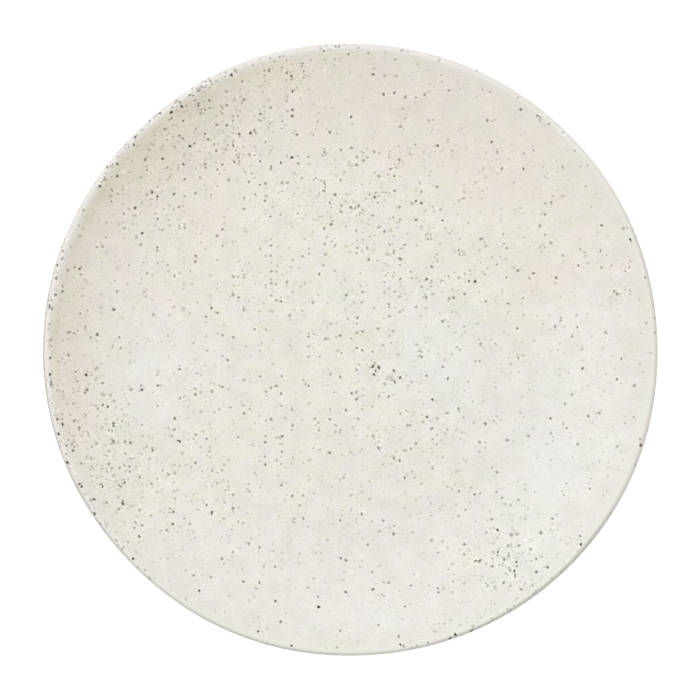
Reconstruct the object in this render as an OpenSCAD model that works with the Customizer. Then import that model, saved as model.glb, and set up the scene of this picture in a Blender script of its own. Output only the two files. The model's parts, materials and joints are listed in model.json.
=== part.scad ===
// Coupe dinner plate in speckled stoneware.
// A flat well runs into a wall that curves up to a plain rounded lip, with no separate rim.
// The clay body stands on a bare foot ring, and a thin glaze covers everything else.
// Origin: centre of the foot ring on the table. +Z is up.

/* [Plate] */
// Overall diameter, over the glaze
plate_d = 270; // [230:1:310]
// Overall height, from the table to the top of the lip
plate_h = 25; // [20:0.5:34]
// Diameter of the flat well
well_d = 164; // [130:1:200]
// Thickness of the base, glaze included
base_t = 5.5; // [4:0.1:8]
// Thickness of the rounded lip, glaze included
lip_t = 4; // [2.6:0.1:5.4]

/* [Foot ring] */
// Outside diameter of the clay foot ring
foot_d = 160; // [120:1:200]
// Width of the foot ring
foot_w = 6; // [4:0.1:12]
// Height of the base above the table
foot_h = 3.5; // [3:0.1:5.5]
// Rounding of the edges that stand on the table
foot_round = 1; // [0.2:0.1:1.4]
// Fillet between the foot ring and the base, over the glaze
foot_fillet = 1; // [0.3:0.1:1.5]

/* [Glaze] */
// Thickness of the glaze on the well, the base and the foot ring
glaze_t = 0.4; // [0.2:0.05:0.9]
// Thickness of the glaze on the lip, where it runs thin
lip_glaze_t = 0.25; // [0.1:0.05:0.6]
// Height of the foot ring's bare band, where the glaze is wiped off
bare_h = 1.5; // [1.1:0.1:2]

/* [Smoothness] */
// Largest gap between a curve of the section and its chords
curve_gap = 0.01; // [0.004:0.001:0.05]
// Segments round the plate
round_segments = 240; // [72:8:256]

/* [Hidden] */

clay_colour = [0.73, 0.67, 0.58];
glaze_colour = [0.91, 0.89, 0.85];

// Points of a section nearer than this count as one
same_point = 0.001;

// The lip is a full round: its widest line and its top give the overall sizes.
lip_r = lip_t / 2;
lip_centre = [plate_d / 2 - lip_r, plate_h - lip_r];

// The face is one arc, level at the edge of the well and tangent to the lip.
well_r = well_d / 2;
floor_z = foot_h + base_t;
wall_rise = plate_h - floor_z;
wall_run = lip_centre.x - well_r;
lip_slope = 2 * atan(wall_rise / wall_run);
bowl_r = wall_run / sin(lip_slope) - lip_r;
bowl_centre = [well_r, floor_z + bowl_r];

// The underside is one arc too, tangent to the lip and level with the base,
// so the wall thickens evenly from the lip to the base.
lip_down = heading(lip_slope - 90);
under_start = lip_centre + lip_r * lip_down;
under_r = (under_start.y - foot_h) / (1 - cos(lip_slope));
under_centre = under_start - under_r * lip_down;

// The outer fillet touches the foot ring and the underside, the inner one the foot ring and the base.
// Clay and glaze share the fillets' centres.
foot_outer_r = foot_d / 2;
foot_inner_r = foot_outer_r - foot_w;
outer_fillet_x = foot_outer_r + glaze_t + foot_fillet;
outer_fillet_reach = max(0, outer_fillet_x - under_centre.x);
outer_fillet_drop = sqrt((under_r + foot_fillet) ^ 2 - outer_fillet_reach ^ 2);
outer_fillet_centre = [outer_fillet_x, under_centre.y - outer_fillet_drop];
outer_fillet_angle = atan2(outer_fillet_drop, -outer_fillet_reach);
inner_fillet_centre = [foot_inner_r - glaze_t - foot_fillet, foot_h - foot_fillet];

// Unit vector at an angle in the section
function heading(angle) = [cos(angle), sin(angle)];

// Points along an arc whose radius may change evenly from its first end to its last
function arc(centre, first_r, last_r, first_angle, last_angle) =
    let (
        sweep = last_angle - first_angle,
        chord_angle = 2 * acos(1 - curve_gap / max(first_r, last_r)),
        steps = ceil(abs(sweep) / chord_angle)
    )
    [
        for (step = [0 : steps])
            let (share = step / steps)
                centre + (first_r + share * (last_r - first_r)) * heading(first_angle + share * sweep)
    ];

// The same points, without any that repeats the one before it
function joined(points) = [
    for (i = [0 : len(points) - 1])
        if (i == 0 || norm(points[i] - points[i - 1]) > same_point) points[i]
];

function reversed(points) = [for (i = [len(points) - 1 : -1 : 0]) points[i]];

// The face from the axis to the lip's widest line, at a depth below the glaze
function face_line(depth, lip_depth) = concat(
    [[0, floor_z - depth]],
    arc(bowl_centre, bowl_r + depth, bowl_r + lip_depth, -90, lip_slope - 90),
    arc(lip_centre, lip_r - lip_depth, lip_r - lip_depth, lip_slope + 90, 90),
    arc(lip_centre, lip_r - lip_depth, lip_r - lip_depth, 90, 0)
);

// The underside from the lip's widest line to the foot ring's outside, at a depth below the glaze
function underside_line(depth, lip_depth) = concat(
    arc(lip_centre, lip_r - lip_depth, lip_r - lip_depth, 0, lip_slope - 90),
    arc(under_centre, under_r - lip_depth, under_r - depth, lip_slope - 90, outer_fillet_angle - 180),
    arc(outer_fillet_centre, foot_fillet + depth, foot_fillet + depth, outer_fillet_angle, 180)
);

// The base from the axis to the foot ring's inside, at a depth below the glaze
function base_line(depth) = concat(
    [[0, foot_h + depth]],
    arc(inner_fillet_centre, foot_fillet + depth, foot_fillet + depth, 90, 0)
);

// Rounded edge of the glaze on a wall of the foot ring, from the glaze's surface down to the clay
function glaze_edge(wall_r, surface_angle) =
    arc([wall_r, bare_h + glaze_t], glaze_t, glaze_t, surface_angle, 270);

// The foot ring's bottom, from its outside to its inside
function foot_line() = concat(
    arc([foot_outer_r - foot_round, foot_round], foot_round, foot_round, 360, 270),
    arc([foot_inner_r + foot_round, foot_round], foot_round, foot_round, 270, 180)
);

face_glaze = face_line(0, 0);
face_clay = face_line(glaze_t, lip_glaze_t);
underside_glaze = underside_line(0, 0);
underside_clay = underside_line(glaze_t, lip_glaze_t);
base_glaze = base_line(0);
base_clay = base_line(glaze_t);

// A solid turned about the plate's axis from the lines that close its section
module turned(lines) {
    section = joined([for (line = lines) each line]);
    rotate_extrude($fn = round_segments)
        polygon(section);
}

// Fired clay, from the lip to the bare foot ring
module stoneware_body() {
    color(clay_colour)
        turned([face_clay, underside_clay, foot_line(), reversed(base_clay)]);
}

// Glaze over the well, the wall and the top of the lip
module glaze_face() {
    color(glaze_colour)
        turned([face_glaze, reversed(face_clay)]);
}

// Glaze from the lip's widest line to the outside of the foot ring
module glaze_underside() {
    color(glaze_colour)
        turned([underside_glaze, glaze_edge(foot_outer_r, 360), reversed(underside_clay)]);
}

// Glaze inside the foot ring
module glaze_base() {
    color(glaze_colour)
        turned([base_glaze, glaze_edge(foot_inner_r, 180), reversed(base_clay)]);
}

stoneware_body();
glaze_face();
glaze_underside();
glaze_base();
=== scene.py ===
"""Looks of a speckled stoneware coupe plate, dressed over its solids in the same frame.

The clay body and its three glaze coats are turned again with a finer section, a potter's slight
unevenness and procedural finishes. Every size of the section comes from the solids themselves.
"""

import json
import logging
import math
from collections.abc import Iterable, Iterator, Mapping, Sequence
from dataclasses import dataclass
from enum import Enum
from functools import reduce
from typing import Any

import bpy
import numpy as np
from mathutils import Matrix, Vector, noise


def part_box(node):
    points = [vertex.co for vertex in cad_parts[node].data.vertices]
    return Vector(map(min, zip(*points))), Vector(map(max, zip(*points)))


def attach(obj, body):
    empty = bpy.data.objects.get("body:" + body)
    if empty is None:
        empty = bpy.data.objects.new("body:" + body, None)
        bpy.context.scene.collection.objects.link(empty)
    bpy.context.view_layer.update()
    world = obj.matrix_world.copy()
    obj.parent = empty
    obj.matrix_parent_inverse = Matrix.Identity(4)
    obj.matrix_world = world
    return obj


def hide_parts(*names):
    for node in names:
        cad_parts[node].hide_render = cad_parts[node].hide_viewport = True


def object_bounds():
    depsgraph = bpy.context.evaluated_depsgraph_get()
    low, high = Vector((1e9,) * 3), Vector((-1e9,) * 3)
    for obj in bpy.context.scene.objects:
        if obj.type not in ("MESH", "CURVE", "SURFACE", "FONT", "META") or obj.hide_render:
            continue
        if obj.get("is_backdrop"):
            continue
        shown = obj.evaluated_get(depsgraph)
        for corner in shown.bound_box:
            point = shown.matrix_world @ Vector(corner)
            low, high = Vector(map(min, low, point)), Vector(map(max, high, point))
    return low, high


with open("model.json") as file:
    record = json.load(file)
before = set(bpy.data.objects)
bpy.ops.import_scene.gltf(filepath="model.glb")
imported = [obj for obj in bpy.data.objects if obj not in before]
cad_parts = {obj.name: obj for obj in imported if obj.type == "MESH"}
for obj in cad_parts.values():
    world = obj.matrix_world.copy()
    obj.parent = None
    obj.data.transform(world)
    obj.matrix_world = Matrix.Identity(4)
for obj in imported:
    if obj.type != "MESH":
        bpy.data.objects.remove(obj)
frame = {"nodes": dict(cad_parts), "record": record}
CAD_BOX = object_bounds()

LOG = logging.getLogger("plate")
BODY = "root"
MM = 0.001
QUARTER_TURN = math.pi / 2
FULL_TURN = 2 * math.pi

# Neighbouring points of a section that are nearer than this are one
SAME_POINT = 0.0001 * MM
# Rings of a turned piece are one where they agree when rounded to this
SAME_RING = 0.001 * MM
# Noise swings about this value
NOISE_MIDDLE = 0.5

Number = int | float
Range = tuple[float, float]
Place = tuple[float, float, float]
Colour = tuple[float, float, float]

FULL_WHITE: Colour = (1, 1, 1)


class Piece(Enum):
    """The plate's pieces, named as its solids are."""

    CLAY = "stoneware_body"
    FACE = "glaze_face"
    UNDERSIDE = "glaze_underside"
    BASE = "glaze_base"


class Slot(Enum):
    """The record's material slots."""

    STONEWARE = "stoneware"
    FACE_GLAZE = "face_glaze"
    UNDERSIDE_GLAZE = "underside_glaze"
    BASE_GLAZE = "base_glaze"


def srgb(red: int, green: int, blue: int) -> Colour:
    """Linear colour of a screen colour.

    Args:
        red: Red from 0 to 255.
        green: Green from 0 to 255.
        blue: Blue from 0 to 255.

    Returns:
        The three linear parts, from 0 to 1.
    """

    def linear(part: int) -> float:
        """Linear value of one part."""
        share = part / 255
        return share / 12.92 if share <= 0.04045 else ((share + 0.055) / 1.055) ** 2.4

    return linear(red), linear(green), linear(blue)


class Value:
    """An output socket that Python's operators work on, as numbers or as vectors."""

    def __init__(self, shader: "Shader", socket: bpy.types.NodeSocket) -> None:
        """Keeps the socket and the shader that adds nodes after it."""
        self.shader = shader
        self.socket = socket

    @property
    def is_vector(self) -> bool:
        """True for a vector or a colour."""
        return self.socket.type in ("VECTOR", "RGBA")

    def combine(self, operation: str, first: Any, second: Any = None) -> "Value":
        """Adds a Math node, or a Vector Math node where a vector takes part.

        Args:
            operation: The node's operation.
            first: Its first operand.
            second: Its second operand, if it has one.

        Returns:
            The node's result.
        """
        operands = {i: given for i, given in enumerate((first, second)) if given is not None}
        vectors = [
            isinstance(given, tuple) or getattr(given, "is_vector", False) for given in operands.values()
        ]
        if not any(vectors):
            return self.shader.node("ShaderNodeMath", {"operation": operation}, operands)["Value"]
        if operation == "MULTIPLY" and not all(vectors):
            amount = second if vectors[0] else first
            vector = first if vectors[0] else second
            return self.shader.node(
                "ShaderNodeVectorMath", {"operation": "SCALE"}, {"Vector": vector, "Scale": amount}
            )["Vector"]
        return self.shader.node("ShaderNodeVectorMath", {"operation": operation}, operands)["Vector"]

    def __add__(self, other: Any) -> "Value":
        """Sum."""
        return self.combine("ADD", self, other)

    def __radd__(self, other: Any) -> "Value":
        """Sum, with the value on the right."""
        return self.combine("ADD", other, self)

    def __sub__(self, other: Any) -> "Value":
        """Difference."""
        return self.combine("SUBTRACT", self, other)

    def __rsub__(self, other: Any) -> "Value":
        """Difference, with the value on the right."""
        return self.combine("SUBTRACT", other, self)

    def __mul__(self, other: Any) -> "Value":
        """Product."""
        return self.combine("MULTIPLY", self, other)

    def __rmul__(self, other: Any) -> "Value":
        """Product, with the value on the right."""
        return self.combine("MULTIPLY", other, self)

    def __pow__(self, other: Any) -> "Value":
        """Power."""
        return self.combine("POWER", self, other)

    def __rpow__(self, other: Any) -> "Value":
        """Power, with the value on the right."""
        return self.combine("POWER", other, self)

    def __neg__(self) -> "Value":
        """The value with its sign turned."""
        return self * -1

    def __lt__(self, other: Any) -> "Value":
        """1 where the value is less than the other, else 0."""
        return self.combine("LESS_THAN", self, other)

    def __gt__(self, other: Any) -> "Value":
        """1 where the value is greater than the other, else 0."""
        return self.combine("GREATER_THAN", self, other)

    def least(self, other: Any) -> "Value":
        """The lesser of two values."""
        return self.combine("MINIMUM", self, other)

    def most(self, other: Any) -> "Value":
        """The greater of two values."""
        return self.combine("MAXIMUM", self, other)

    def exp(self) -> "Value":
        """Natural exponential."""
        return self.combine("EXPONENT", self)

    def between(self, low: float, high: float) -> "Value":
        """Low where the value is 0, and high where it is 1."""
        return low + (high - low) * self

    def length(self) -> "Value":
        """Length of a vector."""
        return self.shader.node("ShaderNodeVectorMath", {"operation": "LENGTH"}, {0: self})["Value"]

    def step(self, low: "Value | Number", high: "Value | Number") -> "Value":
        """Smooth step from 0 at low to 1 at high. Low may be the greater of the two."""
        return self.shader.node(
            "ShaderNodeMapRange",
            {"interpolation_type": "SMOOTHSTEP", "clamp": True},
            {"Value": self, "From Min": low, "From Max": high},
        )["Result"]

    def parts(self) -> "dict[str, Value]":
        """The Red, Green and Blue of a colour."""
        return self.shader.node("ShaderNodeSeparateColor", None, {"Color": self})


class Shader:
    """A node tree under construction."""

    def __init__(self, tree: bpy.types.NodeTree) -> None:
        """Empties the tree."""
        self.tree = tree
        tree.nodes.clear()

    @classmethod
    def of_material(cls, name: str) -> tuple["Shader", bpy.types.Material]:
        """Makes a material.

        Args:
            name: The material's name.

        Returns:
            The shader of its empty tree, and the material.
        """
        material = bpy.data.materials.new(name)
        material.use_nodes = True
        return cls(material.node_tree), material

    def node(
        self,
        kind: str,
        settings: Mapping[str, Any] | None = None,
        inputs: Mapping[str | int, Any] | None = None,
    ) -> dict[str, Value]:
        """Adds a node.

        Args:
            kind: The node's type.
            settings: Its properties, set before its sockets are looked up.
            inputs: Values or links of its sockets, by name or place.

        Returns:
            The outputs that its settings leave in use, by name.
        """
        made = self.tree.nodes.new(kind)
        for name, setting in (settings or {}).items():
            setattr(made, name, setting)
        for key, given in (inputs or {}).items():
            socket = made.inputs[key] if isinstance(key, int) else self.open_input(made, key)
            if isinstance(given, Value):
                self.tree.links.new(given.socket, socket)
            elif socket.type == "RGBA":
                socket.default_value = (*given, 1)
            else:
                socket.default_value = given
        return {socket.name: Value(self, socket) for socket in made.outputs if socket.enabled}

    @staticmethod
    def open_input(made: bpy.types.Node, name: str) -> bpy.types.NodeSocket:
        """The input of that name that the node's settings leave in use."""
        return next(socket for socket in made.inputs if socket.name == name and socket.enabled)

    def blend(self, first: Any, second: Any, share: Value | Number, clamped: bool = True) -> Value:
        """Mixes two colours.

        Args:
            first: The colour at share 0.
            second: The colour at share 1.
            share: How far to go from the first to the second.
            clamped: Whether the share is kept from 0 to 1.

        Returns:
            The mixed colour.
        """
        return self.node(
            "ShaderNodeMix",
            {"data_type": "RGBA", "clamp_factor": clamped},
            {"A": first, "B": second, "Factor": share},
        )["Result"]

    def place(self) -> Value:
        """Where a point is on the plate, in millimetres."""
        return self.node("ShaderNodeTexCoord")["Object"] * (1 / MM)

    def bump(self, height: Value) -> Value:
        """The normal of a surface with a fine relief, whose height is in millimetres."""
        inputs = {"Height": height, "Distance": MM, "Strength": 1.0}
        return self.node("ShaderNodeBump", None, inputs)["Normal"]

    def finish(self, surface: Value, output: str = "ShaderNodeOutputMaterial") -> None:
        """Ends the tree with its surface."""
        self.node(output, None, {"Surface": surface})


@dataclass(frozen=True)
class Cloud:
    """Soft noise on the plate.

    Args:
        size: Width of one swell, in millimetres.
        detail: How many finer layers it has.
        low: Noise up to here has a share of 0.
        high: Noise from here has a share of 1.
    """

    size: float
    detail: float = 2.0
    low: float = 0.0
    high: float = 1.0

    def noise(self, place: Value) -> dict[str, Value]:
        """The noise at a place, as a number, Fac, and as three numbers, Color."""
        inputs = {"Vector": place, "Scale": 1 / self.size, "Detail": self.detail}
        return place.shader.node("ShaderNodeTexNoise", None, inputs)

    def swing(self, place: Value) -> Value:
        """The noise at a place, about 0."""
        return self.noise(place)["Fac"] - NOISE_MIDDLE

    def share(self, place: Value) -> Value:
        """How far the noise at a place is from low to high, from 0 to 1."""
        return self.noise(place)["Fac"].step(self.low, self.high)


@dataclass(frozen=True)
class Patch:
    """A soft-edged patch on the plate, seen from above, in millimetres.

    Args:
        x: Its middle, to the right.
        y: Its middle, to the top.
        reach_x: Half its width before it is turned.
        reach_y: Half its length before it is turned.
        weight: How much it counts in its middle.
        turn: How far it is turned, in degrees.
    """

    x: float
    y: float
    reach_x: float
    reach_y: float
    weight: float
    turn: float = 0.0

    def share(self, place: Value) -> Value:
        """The patch's weight at a place, fading outwards.

        Args:
            place: Where a point is, in millimetres.

        Returns:
            Its weight there.
        """
        offset = place - (self.x, self.y, 0)
        if self.turn:
            offset = place.shader.node(
                "ShaderNodeVectorRotate",
                {"rotation_type": "Z_AXIS"},
                {"Vector": offset, "Angle": -math.radians(self.turn)},
            )["Vector"]
        apart = (offset * (1 / self.reach_x, 1 / self.reach_y, 0)).length()
        return (-(apart * apart)).exp() * self.weight


@dataclass(frozen=True)
class Side:
    """A side of the plate, which comes in evenly, in millimetres from the plate's axis.

    Args:
        bearing: Where it lies, in degrees from +X towards +Y.
        start: Where it starts.
        full: Where it is full.
        weight: How much it counts where it is full.
    """

    bearing: float
    start: float
    full: float
    weight: float = 1.0

    def share(self, place: Value) -> Value:
        """The side's weight at a place.

        Args:
            place: Where a point is, in millimetres.

        Returns:
            Its weight there.
        """
        turn = math.radians(self.bearing)
        inputs = {0: place, 1: (math.cos(turn), math.sin(turn), 0)}
        across = place.shader.node("ShaderNodeVectorMath", {"operation": "DOT_PRODUCT"}, inputs)
        return across["Value"].step(self.start, self.full) * self.weight


def total(place: Value, regions: Iterable[Patch | Side]) -> Value:
    """Summed weight of patches or sides at a place."""
    return reduce(Value.__add__, (region.share(place) for region in regions))


@dataclass(frozen=True)
class Grains:
    """Grains scattered through a solid and cut open by its surface, in millimetres.

    Args:
        cell: Mean distance between grains, shown or not.
        least: Radius of the smallest grain, to the end of its blurred edge.
        most: Radius of the largest.
        share: How many of the grains show where the scatter is full.
        core: Share of the radius that is not blurred.
        faint: Strength of the palest grain, next to 1 for the darkest.
        rare: Over 1, dark grains are rarer than pale ones.
        strength: Strength of the darkest grain.
        ring: Strength of the paler ring round a grain, next to the grain's own.
        ring_reach: Radius of that ring, next to the grain's own.
        shifts: Moves of the scatter, one for each time that it is laid, so that no two fall together.
    """

    cell: float
    least: float
    most: float
    share: float
    core: float
    faint: float
    rare: float
    strength: float = 1.0
    ring: float = 0.0
    ring_reach: float = 1.6
    shifts: tuple[Place, ...] = ((0, 0, 0),)

    def layers(self, place: Value, richness: Value | Number) -> Iterator[Value]:
        """Where grains show, each time that the scatter is laid."""
        return (self.mask(place + shift, richness) for shift in self.shifts)

    def mask(self, place: Value, richness: Value | Number) -> Value:
        """Where grains show. Pale grains tend to be the wide ones.

        Args:
            place: Where a point is, in millimetres.
            richness: How full the scatter is, from 0 to 1.

        Returns:
            The strength of the grain at the place, and less than 0 in its ring.
        """
        cells = place.shader.node("ShaderNodeTexVoronoi", None, {"Vector": place, "Scale": 1 / self.cell})
        chance = cells["Color"].parts()
        darkness = chance["Blue"]
        size = (chance["Green"] + (1 - darkness)) * 0.5
        radius = size.between(self.least, self.most)
        apart = cells["Distance"] * self.cell
        grain = apart.step(radius, radius * self.core)
        if self.ring:
            grain = grain - apart.step(radius * self.ring_reach, radius) * self.ring
        shown = chance["Red"] < richness * self.share
        return grain * shown * (darkness**self.rare).between(self.faint, 1) * self.strength


@dataclass(frozen=True)
class GlazeFinish:
    """Satin cream glaze, clouded, with iron grains melted into it, and with painted light and shade.

    Sizes are in millimetres. A band lies across the rim, counted outwards from the top of the lip.
    """

    name: str = "speckled_cream_glaze"
    roughness: float = 0.48
    refraction: float = 1.5
    gloss: Cloud = Cloud(9.0)
    gloss_swing: float = 0.16
    grain_roughness: float = 0.2
    peel: Cloud = Cloud(2.4)
    peel_height: float = 0.006

    # Clouds of olive and rose, with whiter patches; some whiter and rose patches are a painted sheen
    olive: Colour = srgb(236, 234, 222)
    rose: Colour = srgb(238, 234, 229)
    white: Colour = srgb(237, 237, 234)
    wide: Cloud = Cloud(30.0, 3.0)
    close: Cloud = Cloud(8.0)
    rose_start: float = 0.35
    rose_wide: float = 0.8
    rose_close: Range = (0.3, 0.7)
    grain_olive: float = 0.8
    rose_and_sheen_patches: tuple[Patch, ...] = (
        Patch(-25, -92, 75, 24, 0.5),
        Patch(104, 10, 24, 48, 0.6),
        # A painted sheen: the pale crescent on the left of the well
        Patch(-86, -10, 14, 56, 0.6),
        Patch(-98, -62, 24, 34, -0.4, -40),
        Patch(-54, 60, 42, 28, -0.5, 45),
        Patch(80, 46, 30, 34, -0.6),
        Patch(-118, -30, 12, 40, -0.4),
    )
    white_wide: Range = (0.25, 0.65)
    white_and_sheen_patches: tuple[Patch, ...] = (
        # Whiter glaze, and partly a painted sheen
        Patch(-92, -8, 15, 45, 0.6),
        Patch(36, -2, 17, 26, 0.8, 20),
        # A painted sheen on the lower right wall
        Patch(92, -46, 34, 44, 0.7, -20),
        Patch(6, -119, 50, 9, 0.7),
        Patch(84, -88, 36, 22, 0.4, 45),
        Patch(-74, -96, 36, 10, 0.5, -37),
    )

    # Painted shade up the wall, in a sand colour, mossier on one side
    sand: Colour = srgb(231, 221, 206)
    moss: Colour = srgb(223, 219, 198)
    moss_cloud: Cloud = Cloud(11.0, 2.0, 0.5, 0.65)
    moss_side: Side = Side(150, 40, 110)
    wall_shade_swing: Range = (0.7, 1.3)
    sand_shade_patches: tuple[Patch, ...] = (
        Patch(-94, 88, 64, 18, 0.76, 45),
        Patch(-60, 62, 75, 28, 0.2, 45),
        Patch(42, 94, 58, 22, 0.40, -24),
        Patch(-124, 5, 9, 46, 0.45),
        Patch(86, 36, 16, 16, 0.24),
        Patch(-32, 122, 32, 12, 0.3, 12),
    )

    # Faint drift of the tint, and how light the glaze is, with patches of painted light and shade
    blush: Cloud = Cloud(18.0, 5.0, 0.3, 0.7)
    blush_shift: Place = (90, 0, 0)
    green_tint: Colour = (0.9925, 1.006, 0.9985)
    pink_tint: Colour = (1.0075, 0.992, 1.0015)
    close_swing: float = 0.16
    grit: Cloud = Cloud(1.1)
    grit_swing: float = 0.23
    # A patch above 0 paints shade, and one below 0 paints light
    painted_light_and_shade_patches: tuple[Patch, ...] = (
        Patch(-52, 10, 34, 55, 0.018),
        Patch(-10, -97, 55, 12, 0.018),
        Patch(-27, 121, 26, 12, -0.044, 10),
        Patch(-64, 112, 19, 10, 0.046, 30),
        Patch(-88, -88, 34, 18, -0.016, -45),
        Patch(2, 86, 48, 26, 0.02),
        Patch(64, -104, 26, 14, 0.014, 30),
    )

    # Painted shade inside the lip on one side, a painted highlight on the lip, and painted shade along its
    # outer edge
    # Painted shade inside the lip, on the side away from the lamp
    pool_shade: Colour = srgb(208, 206, 185)
    pool_shade_depth: float = 0.38
    pool_shade_band: Range = (-6.5, -3.0)
    pool_shade_side: Side = Side(155, 70, 128)
    pool_shade_cloud: Cloud = Cloud(16.0, 2.0, 0.35, 0.65)
    # Painted highlight on the lip: white on its lit side, cream on the side away from the lamp
    lit_lip_white: Colour = srgb(238, 236, 231)
    shaded_lip_cream: Colour = srgb(237, 236, 227)
    shaded_lip_side: Side = Side(-40, -60, 60)
    lip_depth: float = 0.8
    lip_highlight_band: Range = (-3.7, -0.9)
    lip_highlight_retreat: Side = Side(186, 124, 132, 1.7)
    # Painted shade along the lip's outer edge, most on the side away from the lamp, and a painted shadow
    # line on the left
    painted_edge_shade: Colour = srgb(182, 183, 178)
    edge_shade_band: Range = (-0.3, 1.4)
    edge_shade_sides: tuple[Side, ...] = (
        Side(-67, -40, 25, 0.34),
        Side(-67, 98, 124, 0.40),
        Side(232, 108, 131, 0.24),
    )
    edge_line_shade_band: Range = (1.2, 1.9)
    edge_line_shade_side: Side = Side(195, 90, 130, 0.8)

    # Where the scatter of iron grains is full
    sparse: float = 0.10
    clumps: Cloud = Cloud(7.0, 4.0, 0.3, 0.7)
    clump_swing: Range = (0.2, 1.8)
    knots: Cloud = Cloud(3.2, 1.0, 0.35, 0.65)
    knot_swing: Range = (0.1, 1.9)
    crowd_start: Range = (-1.6, -0.7)
    crowd_end: Range = (0.6, 1.4)
    crowding: float = 3.8
    drifts: tuple[Patch, ...] = (
        Patch(-70, 10, 75, 95, 0.07),
        Patch(5, 10, 58, 72, 0.14),
        Patch(-72, 96, 42, 30, 0.31, 40),
        Patch(-50, 95, 16, 12, 0.26, 20),
        Patch(-17, 121, 25, 10, 0.16, 10),
        Patch(0, 67, 26, 22, 0.44),
        Patch(38, 36, 22, 26, 0.24, -30),
        Patch(22, -20, 30, 10, 0.50, -44),
        Patch(-112, -41, 17, 26, 0.58, 20),
        Patch(-86, -58, 30, 20, 0.28, -40),
        Patch(66, -92, 19, 15, 0.46, 40),
        Patch(72, -68, 14, 14, 0.12),
        Patch(66, -115, 14, 5, 0.16, 30),
        Patch(-68, -16, 12, 10, 0.12),
        Patch(-54, 4, 20, 16, -0.10),
        Patch(-59, -59, 10, 10, 0.10),
        Patch(0, -80, 9, 8, 0.12),
        Patch(-122, 16, 9, 22, 0.30),
        Patch(14, 14, 12, 12, -0.14),
        Patch(-41, -14, 12, 12, -0.06),
        Patch(-14, -41, 14, 12, 0.10),
        Patch(-68, 68, 14, 14, -0.08),
        Patch(-95, -95, 12, 12, 0.08),
        Patch(96, -14, 16, 14, 0.06),
    )

    # The grains: dark specks, paler ones, and faint wide ones, out of round and rusty where they are faint
    iron: Colour = srgb(60, 58, 37)
    rust: Colour = srgb(92, 68, 26)
    warp: Cloud = Cloud(1.3, 1.0)
    warp_reach: float = 1.3
    wall_band: Range = (-53, -8)
    wall_darker: float = 0.14
    rim_band: Range = (-6, -1)
    rim_darker: float = 0.18
    grains: tuple[Grains, ...] = (
        Grains(
            cell=2.4, least=1.00, most=1.22, share=0.29, core=0.25, faint=0.64, rare=1.3,
            strength=0.95, ring=0.11, shifts=((0, 0, 0), (67, 23, 11)),
        ),
        Grains(
            cell=2.1, least=0.98, most=1.26, share=0.31, core=0.20, faint=0.24, rare=1.5,
            strength=0.70, ring=0.10, shifts=((41, 17, 29), (19, 83, 47)),
        ),
        Grains(
            cell=2.0, least=1.04, most=1.36, share=0.74, core=0.10, faint=0.25, rare=1.3,
            strength=0.41, ring=0.06, shifts=((13, 57, 71),),
        ),
    )

    def dress(self, lip_reach: float) -> bpy.types.Material:
        """Makes the glaze.

        Args:
            lip_reach: Distance from the plate's axis to the top of its lip, in millimetres.

        Returns:
            The material.
        """
        shader, material = Shader.of_material(self.name)
        place = shader.place()
        rim = (place * (1, 1, 0)).length() - lip_reach
        richness = self.richness(place, rim)
        ground = self.lip(place, rim, self.ground(place, richness))
        specks = self.specks(place, rim, richness)
        grain = shader.blend(self.rust, self.iron, specks)
        gloss = self.gloss.swing(place) * self.gloss_swing
        surface = shader.node(
            "ShaderNodeBsdfPrincipled",
            None,
            {
                "Base Color": shader.blend(ground, grain, specks, clamped=False),
                "Roughness": self.roughness + gloss + specks * self.grain_roughness,
                "IOR": self.refraction,
                "Normal": shader.bump(self.peel.noise(place)["Fac"] * self.peel_height),
            },
        )
        shader.finish(surface["BSDF"])
        return material

    def richness(self, place: Value, rim: Value) -> Value:
        """How full the scatter of iron grains is. More of them show where the glaze runs thin on the lip.

        Args:
            place: Where a point is, in millimetres.
            rim: How far it lies outside the top of the lip, in millimetres.

        Returns:
            Its fullness at the place, from 0 to about 1.
        """
        crowd = rim.step(*self.crowd_start) - rim.step(*self.crowd_end)
        drifts = total(place, self.drifts) * (1 + crowd * self.crowding)
        clumps = self.clumps.share(place).between(*self.clump_swing)
        knots = self.knots.share(place).between(*self.knot_swing)
        return (self.sparse + drifts) * clumps * knots

    def ground(self, place: Value, richness: Value) -> Value:
        """Colour of the glaze between the specks, with a painted sheen, painted shade up the wall and
        patches of painted light and shade.

        Args:
            place: Where a point is, in millimetres.
            richness: How full the scatter of grains is there.

        Returns:
            The colour.
        """
        shader = place.shader
        wide = self.wide.noise(place)["Fac"]
        close = self.close.noise(place)["Color"].parts()
        # The rose and whiter patches hold a painted sheen as well as the glaze's clouds
        rosiness = total(place, self.rose_and_sheen_patches) + close["Red"].step(*self.rose_close)
        rosiness = rosiness - richness * self.grain_olive + wide * self.rose_wide - self.rose_start
        whiteness_and_sheen = total(place, self.white_and_sheen_patches) * wide.step(*self.white_wide)
        ground = shader.blend(shader.blend(self.olive, self.rose, rosiness), self.white, whiteness_and_sheen)
        moss = self.moss_cloud.share(place) * self.moss_side.share(place)
        # Painted shade up the wall, sand-coloured and mossier on one side
        wall_shade = total(place, self.sand_shade_patches) * close["Green"].between(*self.wall_shade_swing)
        ground = shader.blend(ground, shader.blend(self.sand, self.moss, moss), wall_shade)
        blush = self.blush.share(place + self.blush_shift)
        ground = ground * shader.blend(self.green_tint, self.pink_tint, blush)
        # Random tone, with patches of painted light and shade
        tone_and_painted_light = 1 - total(place, self.painted_light_and_shade_patches) + (close["Blue"] - NOISE_MIDDLE) * self.close_swing
        return ground * (tone_and_painted_light + self.grit.swing(place) * self.grit_swing)

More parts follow.
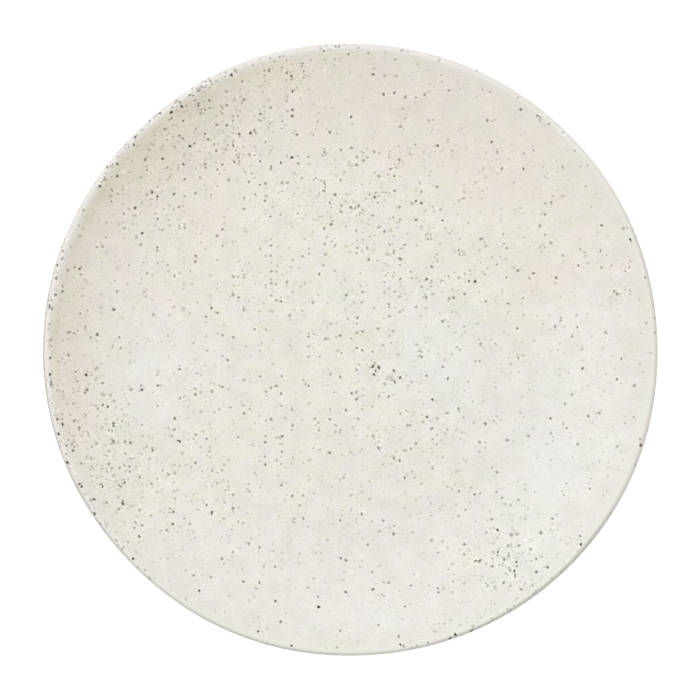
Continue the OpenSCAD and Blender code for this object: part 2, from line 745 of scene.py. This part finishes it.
    def lip(self, place: Value, rim: Value, ground: Value) -> Value:
        """Colour of the glaze, with painted shade inside the lip, a painted highlight on the lip and painted
        shade along its outer edge.

        Args:
            place: Where a point is, in millimetres.
            rim: How far it lies outside the top of the lip, in millimetres.
            ground: The colour without these.

        Returns:
            The colour.
        """
        shader = place.shader
        # Painted shade inside the lip, on the side away from the lamp
        pool_shade = rim.step(*self.pool_shade_band) * self.pool_shade_side.share(place) * self.pool_shade_cloud.share(place)
        ground = shader.blend(ground, self.pool_shade, pool_shade * self.pool_shade_depth)
        # Painted highlight on the lip: white on its lit side, cream on the side away from the lamp
        lip_light_and_shade = shader.blend(self.lit_lip_white, self.shaded_lip_cream, self.shaded_lip_side.share(place))
        lip = (rim - self.lip_highlight_retreat.share(place)).step(*self.lip_highlight_band)
        ground = shader.blend(ground, lip_light_and_shade, lip * self.lip_depth)
        # Painted shade along the lip's outer edge, most on the side away from the lamp, and a painted shadow
        # line on the left
        edge = rim.step(*self.edge_shade_band) * total(place, self.edge_shade_sides)
        line = rim.step(*self.edge_line_shade_band) * self.edge_line_shade_side.share(place)
        return shader.blend(ground, self.painted_edge_shade, edge.most(line))

    def specks(self, place: Value, rim: Value, richness: Value) -> Value:
        """Strength of the iron specks, which come out darker up the wall and on the rim.

        Args:
            place: Where a point is, in millimetres.
            rim: How far it lies outside the top of the lip, in millimetres.
            richness: How full the scatter of grains is there.

        Returns:
            The strength at the place, up to 1, and less than 0 in the paler ring round a speck.
        """
        warp = self.warp.noise(place)["Color"] - (NOISE_MIDDLE, NOISE_MIDDLE, NOISE_MIDDLE)
        uneven = place + warp * self.warp_reach
        layers = (layer for grains in self.grains for layer in grains.layers(uneven, richness))
        darker = rim.step(*self.wall_band) * self.wall_darker + rim.step(*self.rim_band) * self.rim_darker
        return (reduce(Value.__add__, layers) * (1 + darker)).least(1)


@dataclass(frozen=True)
class StonewareFinish:
    """Bare fired clay on the foot ring: matt, sandy, speckled, and toasted towards the glaze.

    Sizes are in millimetres.
    """

    name: str = "bare_stoneware"
    clay: Colour = srgb(208, 194, 170)
    sand: Colour = srgb(188, 171, 145)
    sanding: Cloud = Cloud(3.0, 4.0, 0.35, 0.7)
    toast: Colour = srgb(186, 146, 106)
    toast_depth: float = 0.6
    toast_heights: Range = (0.3, 1.5)
    iron: Colour = srgb(84, 70, 54)
    grains: Grains = Grains(cell=1.5, least=0.2, most=0.6, share=0.55, core=0.5, faint=0.5, rare=1.0)
    grain_depth: float = 0.8
    grain_height: float = 0.03
    roughness: float = 0.82
    grit: Cloud = Cloud(0.5, 3.0)
    grit_roughness: float = 0.12
    grit_height: float = 0.05

    def dress(self) -> bpy.types.Material:
        """Makes the bare clay.

        Returns:
            The material.
        """
        shader, material = Shader.of_material(self.name)
        place = shader.place()
        specks = self.grains.mask(place, 1.0)
        grit = self.grit.noise(place)["Fac"]
        height = shader.node("ShaderNodeSeparateXYZ", None, {"Vector": place})["Z"]
        ground = shader.blend(self.clay, self.sand, self.sanding.share(place))
        ground = shader.blend(ground, self.toast, height.step(*self.toast_heights) * self.toast_depth)
        surface = shader.node(
            "ShaderNodeBsdfPrincipled",
            None,
            {
                "Base Color": shader.blend(ground, self.iron, specks * self.grain_depth),
                "Roughness": self.roughness + grit * self.grit_roughness,
                "Normal": shader.bump(grit * self.grit_height + specks * self.grain_height),
            },
        )
        shader.finish(surface["BSDF"])
        return material


def arc(centre: Sequence[float], radii: Range, angles: Range, steps: int) -> np.ndarray:
    """Points along an arc of the section whose radius may change evenly.

    Args:
        centre: Its centre, as radius and height.
        radii: Its radius at its first and last end.
        angles: The angle of its first and last end, in radians.
        steps: How many chords it has.

    Returns:
        One row of radius and height for each point.
    """
    radius = np.linspace(*radii, steps + 1)
    angle = np.linspace(*angles, steps + 1)
    return np.column_stack((centre[0] + radius * np.cos(angle), centre[1] + radius * np.sin(angle)))


def straight(first: Sequence[float], last: Sequence[float], steps: int) -> np.ndarray:
    """Points along a straight stretch of the section, in a number of steps."""
    return np.linspace(first, last, steps + 1)


def joined(*lines: np.ndarray) -> np.ndarray:
    """Lines in a row, without a point that repeats the one before it.

    Args:
        lines: Rows of radius and height.

    Returns:
        One such line.
    """
    points = np.concatenate(lines)
    apart = np.linalg.norm(np.diff(points, axis=0), axis=1)
    return points[np.concatenate(([True], apart > SAME_POINT))]


def corner_reach(piece: Piece, height: float | None = None) -> np.ndarray:
    """Distances of a solid's corners from the plate's axis.

    Args:
        piece: The piece that the solid stands for.
        height: Only corners at this height count, if it is given.

    Returns:
        The distances, in metres.
    """
    same_height = 0.002 * MM
    corners = np.array([corner.co for corner in frame["nodes"][piece.value].data.vertices])
    if height is not None:
        corners = corners[np.abs(corners[:, 2] - height) < same_height]
    return np.hypot(corners[:, 0], corners[:, 1])


@dataclass(frozen=True)
class Steps:
    """How many chords each part of a section's line has.

    Args:
        well: The floor of the well.
        wall: The wall, above or below.
        lip_top: The lip's round, above its widest line.
        lip_under: The lip's round, below that line.
        base: The base inside the foot ring.
        fillet: A fillet at the root of the foot ring.
    """

    well: int
    wall: int
    lip_top: int
    lip_under: int
    base: int
    fillet: int


SHOWN = Steps(well=40, wall=48, lip_top=36, lip_under=20, base=36, fillet=10)
HIDDEN = Steps(well=8, wall=20, lip_top=12, lip_under=8, base=8, fillet=6)
FOOT_WALL_STEPS = 3
FOOT_ROUND_STEPS = 8
FOOT_STAND_STEPS = 6


@dataclass(frozen=True)
class Section:
    """Half of the plate's section, in metres from its axis and from the table, as its solids have it."""

    plate_radius: float
    plate_height: float
    lip_radius: float
    lip_glaze: float
    floor_height: float
    well_radius: float
    glaze: float
    foot_height: float
    foot_outer: float
    foot_inner: float
    foot_round: float
    fillet: float
    bare: float

    @classmethod
    def from_solids(cls) -> "Section":
        """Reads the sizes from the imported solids.

        Returns:
            The section.
        """
        mounts = {mount["name"]: mount for mount in frame["record"]["mounts"]}
        floor_height = mounts["well_floor"]["pos_m"][2]
        face_low, face_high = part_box(Piece.FACE.value)
        base_low, base_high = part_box(Piece.BASE.value)
        lip_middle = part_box(Piece.UNDERSIDE.value)[1].z
        glaze = floor_height - face_low.z
        foot_height = base_high.z - glaze
        plate_radius = float(corner_reach(Piece.FACE).max())
        foot_inner = float(corner_reach(Piece.BASE).max())
        standing = corner_reach(Piece.CLAY, 0.0)
        foot_round = float(standing.min()) - foot_inner
        return cls(
            plate_radius=plate_radius,
            plate_height=face_high.z,
            lip_radius=face_high.z - lip_middle,
            lip_glaze=plate_radius - float(corner_reach(Piece.CLAY).max()),
            floor_height=floor_height,
            well_radius=float(corner_reach(Piece.FACE, floor_height).max()),
            glaze=glaze,
            foot_height=foot_height,
            foot_outer=float(standing.max()) + foot_round,
            foot_inner=foot_inner,
            foot_round=foot_round,
            fillet=foot_inner - glaze - float(corner_reach(Piece.BASE, foot_height).max()),
            bare=base_low.z,
        )

    @property
    def lip_centre(self) -> np.ndarray:
        """Centre of the lip's round."""
        return np.array((self.plate_radius - self.lip_radius, self.plate_height - self.lip_radius))

    @property
    def lip_slope(self) -> float:
        """How steep the wall is where it meets the lip, in radians."""
        rise = self.plate_height - self.floor_height
        return 2 * math.atan(rise / (self.lip_centre[0] - self.well_radius))

    def face_line(self, depth: float, lip_depth: float, steps: Steps) -> np.ndarray:
        """The face from the axis to the lip's widest line.

        Args:
            depth: How far the line lies below the glaze in the well.
            lip_depth: How far it lies below the glaze at the lip.
            steps: How many chords it has.

        Returns:
            One row of radius and height for each point.
        """
        slope = self.lip_slope
        bowl = (self.lip_centre[0] - self.well_radius) / math.sin(slope) - self.lip_radius
        centre = (self.well_radius, self.floor_height + bowl)
        floor = self.floor_height - depth
        lip = self.lip_radius - lip_depth
        wall = (bowl + depth, bowl + lip_depth)
        return joined(
            straight((0, floor), (self.well_radius, floor), steps.well),
            arc(centre, wall, (-QUARTER_TURN, slope - QUARTER_TURN), steps.wall),
            arc(self.lip_centre, (lip, lip), (slope + QUARTER_TURN, 0), steps.lip_top),
        )

    def underside_line(self, depth: float, lip_depth: float, steps: Steps) -> np.ndarray:
        """The underside from the lip's widest line to the foot ring's outside.

        Args:
            depth: How far the line lies below the glaze at the foot ring.
            lip_depth: How far it lies below the glaze at the lip.
            steps: How many chords it has.

        Returns:
            One row of radius and height for each point.
        """
        slope = self.lip_slope
        lip = self.lip_radius - lip_depth
        down = np.array((math.sin(slope), -math.cos(slope)))
        start = self.lip_centre + self.lip_radius * down
        bowl = (start[1] - self.foot_height) / (1 - math.cos(slope))
        centre = start - bowl * down
        wall = (bowl - lip_depth, bowl - depth)
        fillet = self.fillet + depth
        fillet_x = self.foot_outer + self.glaze + self.fillet
        aside = max(0.0, fillet_x - centre[0])
        drop = math.sqrt((bowl + self.fillet) ** 2 - aside**2)
        meeting = math.atan2(drop, -aside)
        return joined(
            arc(self.lip_centre, (lip, lip), (0, slope - QUARTER_TURN), steps.lip_under),
            arc(centre, wall, (slope - QUARTER_TURN, meeting - math.pi), steps.wall),
            arc((fillet_x, centre[1] - drop), (fillet, fillet), (meeting, math.pi), steps.fillet),
        )

    def base_line(self, depth: float, steps: Steps) -> np.ndarray:
        """The base from the axis to the foot ring's inside.

        Args:
            depth: How far the line lies below the glaze.
            steps: How many chords it has.

        Returns:
            One row of radius and height for each point.
        """
        fillet = self.fillet + depth
        height = self.foot_height + depth
        centre = (self.foot_inner - self.glaze - self.fillet, self.foot_height - self.fillet)
        return joined(
            straight((0, height), (centre[0], height), steps.base),
            arc(centre, (fillet, fillet), (QUARTER_TURN, 0), steps.fillet),
        )

    def glaze_edge(self, wall: float, outwards: bool) -> np.ndarray:
        """Rounded edge of the glaze on a wall of the foot ring, from its surface down to the clay.

        Args:
            wall: Distance of the wall from the plate's axis.
            outwards: Whether the glaze is on the wall's outside.

        Returns:
            One row of radius and height for each point.
        """
        centre = (wall, self.bare + self.glaze)
        start = FULL_TURN if outwards else math.pi
        return arc(centre, (self.glaze, self.glaze), (start, 3 * QUARTER_TURN), FOOT_ROUND_STEPS)

    def foot_line(self) -> np.ndarray:
        """The foot ring's bare bottom, from its outside to its inside.

        Returns:
            One row of radius and height for each point.
        """
        rounding = (self.foot_round, self.foot_round)
        outer = (self.foot_outer - self.foot_round, self.foot_round)
        inner = (self.foot_inner + self.foot_round, self.foot_round)
        top = self.bare + self.glaze
        return joined(
            straight((self.foot_outer, top), (self.foot_outer, self.foot_round), FOOT_WALL_STEPS),
            arc(outer, rounding, (FULL_TURN, 3 * QUARTER_TURN), FOOT_ROUND_STEPS),
            straight((outer[0], 0), (inner[0], 0), FOOT_STAND_STEPS),
            arc(inner, rounding, (3 * QUARTER_TURN, math.pi), FOOT_ROUND_STEPS),
            straight((self.foot_inner, self.foot_round), (self.foot_inner, top), FOOT_WALL_STEPS),
        )


@dataclass(frozen=True)
class Lobe:
    """One swell of the plate's rim as it goes round.

    Args:
        count: How many times it swells in a turn.
        spread: How far it goes outwards, in metres.
        rise: How far it goes up, in metres.
        turn: Where it is fullest, in degrees from +X.
    """

    count: int
    spread: float
    rise: float
    turn: float


@dataclass(frozen=True)
class HandWork:
    """The unevenness that forming and glazing by hand leave, in metres.

    Args:
        lobes: Swells of the rim.
        ripple_height: Height of the free glaze's swells.
        ripple_size: Width of one.
        ripple_fade: Share of a stretch's length over which they fade out at its ends.
        edge_waves: Waves of the glaze's wiped edge, as a count in a turn and a height.
    """

    lobes: tuple[Lobe, ...] = (
        Lobe(2, 0.24 * MM, 0.22 * MM, -6.0),
        Lobe(3, 0.16 * MM, 0.16 * MM, -40.0),
        Lobe(5, 0.18 * MM, 0.07 * MM, -36.0),
        Lobe(8, 0.12 * MM, 0.03 * MM, -22.0),
    )
    ripple_height: float = 0.045 * MM
    ripple_size: float = 26 * MM
    ripple_fade: float = 1 / 12
    edge_waves: tuple[tuple[int, float], ...] = (
        (3, 0.10 * MM),
        (7, 0.07 * MM),
        (16, 0.05 * MM),
        (37, 0.03 * MM),
    )

    def rim(self, angle: np.ndarray) -> tuple[np.ndarray, np.ndarray]:
        """How far the rim is off its true round.

        Args:
            angle: Angles round the plate, in radians.

        Returns:
            How far it goes outwards, and how far up.
        """
        spread = np.zeros_like(angle)
        rise = np.zeros_like(angle)
        for lobe in self.lobes:
            swell = np.cos(lobe.count * (angle - math.radians(lobe.turn)))
            spread += lobe.spread * swell
            rise += lobe.rise * swell
        return spread, rise

    def ripple(self, points: np.ndarray) -> np.ndarray:
        """How far the glaze's surface swells at each of a number of points."""
        swells = [noise.noise(Vector(point) / self.ripple_size) for point in points]
        return self.ripple_height * np.array(swells)

    def edge(self, angle: np.ndarray) -> np.ndarray:
        """How far the glaze's wiped edge runs up at each of a number of angles, in radians."""
        return sum(height * np.sin(count * angle + count) for count, height in self.edge_waves)


class MapMiddle(Enum):
    """Middles of the rings on a piece's map, the unit square: the large ring, and small ones in corners."""

    CENTRE = (0.5, 0.5)
    LOWER_LEFT = (0.085, 0.085)
    LOWER_RIGHT = (0.915, 0.085)
    UPPER_RIGHT = (0.915, 0.915)


@dataclass(frozen=True)
class MapRing:
    """Place of a stretch of the section on its piece's map.

    Args:
        first: Radius of the stretch's first end.
        last: Radius of its last end.
        middle: The ring's middle.
    """

    first: float
    last: float
    middle: MapMiddle = MapMiddle.CENTRE


# Radii of the large ring, which what shows fills, and of a small ring, for what is hidden
MAP_RIM = 0.49
MAP_CORNER = 0.08


@dataclass
class Stretch:
    """A stretch of a turned piece's section.

    Args:
        line: Rows of radius and height.
        ring: Its place on the map.
        ripples: Whether it is free glaze, which swells a little.
        edge: How much its first and last point follow the glaze's wiped edge.
    """

    line: np.ndarray
    ring: MapRing
    ripples: bool = False
    edge: Range = (0, 0)

    def along(self) -> np.ndarray:
        """Share of the stretch's length at each point."""
        steps = np.linalg.norm(np.diff(self.line, axis=0), axis=1)
        return np.concatenate(([0.0], np.cumsum(steps))) / steps.sum()

    def map_radius(self) -> np.ndarray:
        """Radius on the map at each point."""
        return self.ring.first + self.along() * (self.ring.last - self.ring.first)


@dataclass
class TurnedPiece:
    """A closed piece turned about the plate's axis.

    Args:
        piece: Which piece it is.
        stretches: The stretches of its section in order, with the surface on their left.
        section: The plate's section.
        hand: Its unevenness.
        segments: How many parts a turn has.
    """

    piece: Piece
    stretches: list[Stretch]
    section: Section
    hand: HandWork
    segments: int = 288

    def build(self) -> bpy.types.Object:
        """Makes the piece's mesh.

        Returns:
            The piece, in the plate's frame.
        """
        angle = np.arange(self.segments) * FULL_TURN / self.segments
        corners: list[np.ndarray] = []
        faces: list[tuple[int, ...]] = []
        maps: list[tuple[float, float]] = []
        seams: set[frozenset[int]] = set()
        rings: dict[tuple[int, ...], np.ndarray] = {}
        used = 0
        for stretch in self.stretches:
            made = []
            for row in self.rows(stretch, angle):
                key = tuple(np.round(row[0] / SAME_RING).astype(int))
                if key not in rings:
                    numbers = np.arange(len(row)) if len(row) > 1 else np.zeros(self.segments, int)
                    rings[key] = used + numbers
                    corners.append(row)
                    used += len(row)
                made.append(rings[key])
            self.weave(made, stretch, angle, faces, maps)
            last = made[-1].tolist()
            seams.update(map(frozenset, zip(last, last[1:] + last[:1])))
        return self.shape(np.concatenate(corners), faces, maps, seams)

    def rows(self, stretch: Stretch, angle: np.ndarray) -> Iterator[np.ndarray]:
        """Rings of points of a stretch, one point where it meets the axis.

        Args:
            stretch: The stretch.
            angle: Angles round the plate, in radians.

        Yields:
            Rows of X, Y and Z.
        """
        spread, rise = self.hand.rim(angle)
        edge = self.hand.edge(angle)
        foot = self.section.foot_outer
        along = stretch.along()
        fades = np.clip(np.minimum(along, 1 - along) / self.hand.ripple_fade, 0, 1)
        follows = np.linspace(*stretch.edge, len(along))
        for (radius, height), fade, follow in zip(stretch.line, fades, follows):
            if radius < SAME_RING:
                yield np.array([(0.0, 0.0, height)])
                continue
            pull = max(0.0, (radius - foot) / (self.section.plate_radius - foot)) ** 2
            out = radius + pull * spread
            up = height + pull * rise + follow * edge
            row = np.column_stack((out * np.cos(angle), out * np.sin(angle), up))
            if stretch.ripples:
                row[:, 2] += fade * self.hand.ripple(row)
            yield row

    def weave(
        self,
        made: Sequence[np.ndarray],
        stretch: Stretch,
        angle: np.ndarray,
        faces: list[tuple[int, ...]],
        maps: list[tuple[float, float]],
    ) -> None:
        """Adds a stretch's faces, and their places on the map.

        Args:
            made: Corner numbers of the stretch's rings.
            stretch: The stretch.
            angle: Angles round the plate, in radians.
            faces: The piece's faces, which grow.
            maps: The places of the faces' corners on the map, which grow.
        """
        after = np.append(angle[1:], FULL_TURN)
        radius = stretch.map_radius()
        middle_u, middle_v = stretch.ring.middle.value
        for i, (near, far) in enumerate(zip(made, made[1:])):
            for k in range(self.segments):
                following = (k + 1) % self.segments
                loop = (
                    (near[k], radius[i], angle[k]),
                    (far[k], radius[i + 1], angle[k]),
                    (far[following], radius[i + 1], after[k]),
                    (near[following], radius[i], after[k]),
                )
                kept = {int(corner): (span, turn) for corner, span, turn in loop}
                faces.append(tuple(kept))
                maps += [
                    (middle_u + span * math.cos(turn), middle_v + span * math.sin(turn))
                    for span, turn in kept.values()
                ]

    def shape(
        self,
        corners: np.ndarray,
        faces: Sequence[tuple[int, ...]],
        maps: Sequence[tuple[float, float]],
        seams: set[frozenset[int]],
    ) -> bpy.types.Object:
        """Makes the piece from its corners and faces.

        Args:
            corners: Rows of X, Y and Z.
            faces: Corner numbers of each face.
            maps: Place of each face's corners on the map.
            seams: Corner numbers of the edges where two stretches meet, which stay sharp.

        Returns:
            The piece.
        """
        mesh = bpy.data.meshes.new(self.piece.value)
        mesh.from_pydata(corners.tolist(), [], faces)
        mesh.shade_smooth()
        layer = mesh.uv_layers.new(name="OFBake")
        layer.uv.foreach_set("vector", np.array(maps, np.float32).ravel())
        for edge in mesh.edges:
            edge.use_edge_sharp = frozenset(edge.vertices) in seams
        mesh.validate()
        made = bpy.data.objects.new(f"{self.piece.value}_turned", mesh)
        bpy.context.collection.objects.link(made)
        return made


@dataclass
class CoupePlate:
    """The plate: its clay body and its three glaze coats."""

    section: Section
    hand: HandWork
    glaze: GlazeFinish
    stoneware: StonewareFinish

    def build(self) -> None:
        """Makes and dresses every piece."""
        lip_reach = self.section.lip_centre[0] / MM
        glaze = self.glaze.dress(lip_reach)
        clay = self.stoneware.dress()
        self.add(Piece.CLAY, Slot.STONEWARE, self.clay_stretches(), clay)
        self.add(Piece.FACE, Slot.FACE_GLAZE, self.face_stretches(), glaze)
        self.add(Piece.UNDERSIDE, Slot.UNDERSIDE_GLAZE, self.underside_stretches(), glaze)
        self.add(Piece.BASE, Slot.BASE_GLAZE, self.base_stretches(), glaze)

    def add(self, piece: Piece, slot: Slot, stretches: list[Stretch], finish: bpy.types.Material) -> None:
        """Makes one piece, dresses it and puts it in the place of its solid.

        Args:
            piece: Which piece it is.
            slot: Its material slot in the record, which is not used.
            stretches: The stretches of its section.
            finish: Its material.
        """
        made = TurnedPiece(piece, stretches, self.section, self.hand).build()
        made.data.materials.append(finish)
        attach(made, BODY)
        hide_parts(piece.value)
        LOG.info("%s: %d faces, %s", made.name, len(made.data.polygons), finish.name)

    def face_stretches(self) -> list[Stretch]:
        """The face coat.

        Returns:
            Its surface, its end at the lip, and its back on the clay.
        """
        section = self.section
        surface = section.face_line(0, 0, SHOWN)
        back = section.face_line(section.glaze, section.lip_glaze, HIDDEN)[::-1]
        return [
            Stretch(surface, MapRing(0, MAP_RIM), ripples=True),
            Stretch(straight(surface[-1], back[0], 1), MapRing(MAP_RIM, 0.495)),
            Stretch(back, MapRing(MAP_CORNER, 0, MapMiddle.LOWER_LEFT)),
        ]

    def underside_stretches(self) -> list[Stretch]:
        """The underside coat.

        Returns:
            Its surface, its wiped edge, its back on the foot ring and the clay, and its end at the lip.
        """
        section = self.section
        surface = section.underside_line(0, 0, SHOWN)
        edge = section.glaze_edge(section.foot_outer, True)
        back = section.underside_line(section.glaze, section.lip_glaze, HIDDEN)[::-1]
        wall = joined(straight(surface[-1], edge[0], FOOT_WALL_STEPS), edge)
        rest = straight(edge[-1], back[0], FOOT_WALL_STEPS)
        return [
            Stretch(surface, MapRing(MAP_RIM, 0.31), ripples=True),
            Stretch(wall, MapRing(0.31, 0.295), edge=(0, 1)),
            Stretch(rest, MapRing(0.28, 0.27), edge=(1, 0)),
            Stretch(back, MapRing(0.27, 0.1)),
            Stretch(straight(back[-1], surface[0], 1), MapRing(0.1, 0.09)),
        ]

    def base_stretches(self) -> list[Stretch]:
        """The coat inside the foot ring.

        Returns:
            Its back on the clay and the foot ring, its wiped edge, and its surface.
        """
        section = self.section
        surface = section.base_line(0, SHOWN)[::-1]
        edge = section.glaze_edge(section.foot_inner, False)[::-1]
        back = section.base_line(section.glaze, HIDDEN)
        rest = straight(back[-1], edge[0], FOOT_WALL_STEPS)
        wall = joined(edge, straight(edge[-1], surface[0], FOOT_WALL_STEPS))
        return [
            Stretch(back, MapRing(0, 0.075, MapMiddle.LOWER_LEFT)),
            Stretch(rest, MapRing(0.075, MAP_CORNER, MapMiddle.LOWER_LEFT), edge=(0, 1)),
            Stretch(wall, MapRing(MAP_RIM, 0.478), edge=(1, 0)),
            Stretch(surface, MapRing(0.478, 0), ripples=True),
        ]

    def clay_stretches(self) -> list[Stretch]:
        """The clay body.

        Returns:
            Its face, its underside, the bare foot ring with the joins above it, and its base.
        """
        section = self.section
        face = section.face_line(section.glaze, section.lip_glaze, HIDDEN)
        underside = section.underside_line(section.glaze, section.lip_glaze, HIDDEN)
        foot = section.foot_line()
        base = section.base_line(section.glaze, HIDDEN)[::-1]
        return [
            Stretch(face, MapRing(0, MAP_CORNER, MapMiddle.LOWER_LEFT)),
            Stretch(underside, MapRing(MAP_CORNER, 0.045, MapMiddle.LOWER_RIGHT)),
            Stretch(straight(underside[-1], foot[0], 1), MapRing(0.492, MAP_RIM)),
            Stretch(foot, MapRing(MAP_RIM, 0.42)),
            Stretch(straight(foot[-1], base[0], 1), MapRing(0.42, 0.415)),
            Stretch(base, MapRing(MAP_CORNER, 0, MapMiddle.UPPER_RIGHT)),
        ]


def seen_share(shader: Shader) -> Value:
    """1 for what the camera sees, directly, in gloss or through glass, and 0 for light on the plate."""
    path = shader.node("ShaderNodeLightPath")
    return path["Is Camera Ray"].most(path["Is Glossy Ray"]).most(path["Is Transmission Ray"])


@dataclass(frozen=True)
class FloorFinish:
    """A plain white floor that keeps the plate's shadow and looks white to the camera."""

    name: str = "white_floor"
    white: Colour = (0.86, 0.86, 0.86)
    lift: float = 0.52

    def dress(self) -> bpy.types.Material:
        """Makes the floor's material.

        Returns:
            The material.
        """
        shader, material = Shader.of_material(self.name)
        matt = shader.node("ShaderNodeBsdfDiffuse", None, {"Color": self.white})["BSDF"]
        inputs = {"Color": FULL_WHITE, "Strength": self.lift}
        glow = shader.node("ShaderNodeEmission", None, inputs)["Emission"]
        lifted = shader.node("ShaderNodeAddShader", None, {0: matt, 1: glow})["Shader"]
        mixed = shader.node("ShaderNodeMixShader", None, {0: seen_share(shader), 1: matt, 2: lifted})
        shader.finish(mixed["Shader"])
        return material


@dataclass(frozen=True)
class Lamp:
    """A soft square lamp, aimed at the plate.

    Args:
        name: Its name.
        bearing: Where it stands round the plate, in degrees from +X towards +Y.
        tilt: How far it is from straight above, in degrees.
        distance: Its distance, in metres.
        width: Its width, in metres.
        level: Light that it adds to a surface facing it, where 1 shows a colour as it is written.
        tint: Its colour.
    """

    name: str
    bearing: float
    tilt: float
    distance: float
    width: float
    level: float
    tint: Colour

    def add(self) -> None:
        """Adds the lamp."""
        light = bpy.data.lights.new(self.name, "AREA")
        light.shape = "SQUARE"
        light.size = self.width
        light.energy = self.level * (math.pi * self.distance) ** 2
        light.color = self.tint
        lamp = bpy.data.objects.new(self.name, light)
        bearing = math.radians(self.bearing)
        tilt = math.radians(self.tilt)
        aside = math.sin(tilt)
        away = Vector((math.cos(bearing) * aside, math.sin(bearing) * aside, math.cos(tilt)))
        lamp.location = away * self.distance
        lamp.rotation_euler = away.to_track_quat("Z", "Y").to_euler()
        bpy.context.collection.objects.link(lamp)


@dataclass(frozen=True)
class Studio:
    """Floor, light and camera. The camera looks straight down, and the picture's top is +Y."""

    key: Lamp = Lamp(
        "key_softbox", bearing=130.0, tilt=26.0, distance=2.4, width=2.2, level=0.385, tint=(0.96, 1.0, 1.06)
    )
    room_light: Colour = (0.675, 0.657, 0.625)
    floor_width: float = 6.0
    floor_gap: float = 0.02 * MM
    floor_finish: FloorFinish = FloorFinish()
    lens_mm: float = 100.0
    sensor_mm: float = 36.0
    image_pixels: float = 700.0
    plate_radius_pixels: float = 307.0
    plate_right_pixels: float = 0.93
    plate_up_pixels: float = 0.12

    def build(self, section: Section) -> None:
        """Sets up the studio round the plate.

        Args:
            section: The plate's section.
        """
        self.add_floor()
        self.key.add()
        self.add_room_light()
        self.add_camera(section)
        bpy.context.scene.view_settings.view_transform = "Standard"

    def add_floor(self) -> None:
        """Adds the floor that the plate stands on."""
        half = self.floor_width / 2
        corners = [(-half, -half, 0), (half, -half, 0), (half, half, 0), (-half, half, 0)]
        mesh = bpy.data.meshes.new("floor")
        mesh.from_pydata(corners, [], [(0, 1, 2, 3)])
        mesh.materials.append(self.floor_finish.dress())
        floor = bpy.data.objects.new("floor", mesh)
        floor.location.z = -self.floor_gap
        bpy.context.collection.objects.link(floor)
        floor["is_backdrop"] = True

    def add_room_light(self) -> None:
        """Adds the even light of the room, which looks white to the camera."""
        world = bpy.data.worlds.new("room")
        world.use_nodes = True
        bpy.context.scene.world = world
        shader = Shader(world.node_tree)
        room = shader.node("ShaderNodeBackground", None, {"Color": self.room_light})["Background"]
        white = shader.node("ShaderNodeBackground", None, {"Color": FULL_WHITE})["Background"]
        mixed = shader.node("ShaderNodeMixShader", None, {0: seen_share(shader), 1: room, 2: white})
        shader.finish(mixed["Shader"], "ShaderNodeOutputWorld")

    def add_camera(self, section: Section) -> None:
        """Adds the camera above the plate.

        Args:
            section: The plate's section.
        """
        data = bpy.data.cameras.new("camera")
        data.lens = self.lens_mm
        data.sensor_width = self.sensor_mm
        camera = bpy.data.objects.new("camera", data)
        pixel = section.plate_radius / self.plate_radius_pixels
        above = self.image_pixels * pixel * self.lens_mm / self.sensor_mm
        camera.location = (
            -self.plate_right_pixels * pixel,
            -self.plate_up_pixels * pixel,
            section.lip_centre[1] + above,
        )
        bpy.context.collection.objects.link(camera)
        bpy.context.scene.camera = camera
        LOG.info("camera: %.3f m above the table", camera.location.z)


def write_sizes() -> None:
    """Gathers the boxes of the solids and of the dressed plate as plain lists."""
    boxes = {"cad": CAD_BOX, "visual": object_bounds()}
    plain = {name: [[float(part) for part in corner] for corner in box] for name, box in boxes.items()}


def main() -> None:
    """Builds the plate and its studio."""
    logging.basicConfig(level=logging.INFO, format="%(name)s: %(message)s")
    section = Section.from_solids()
    CoupePlate(section, HandWork(), GlazeFinish(), StonewareFinish()).build()
    Studio().build(section)
    write_sizes()


if __name__ == "__main__":
    main()
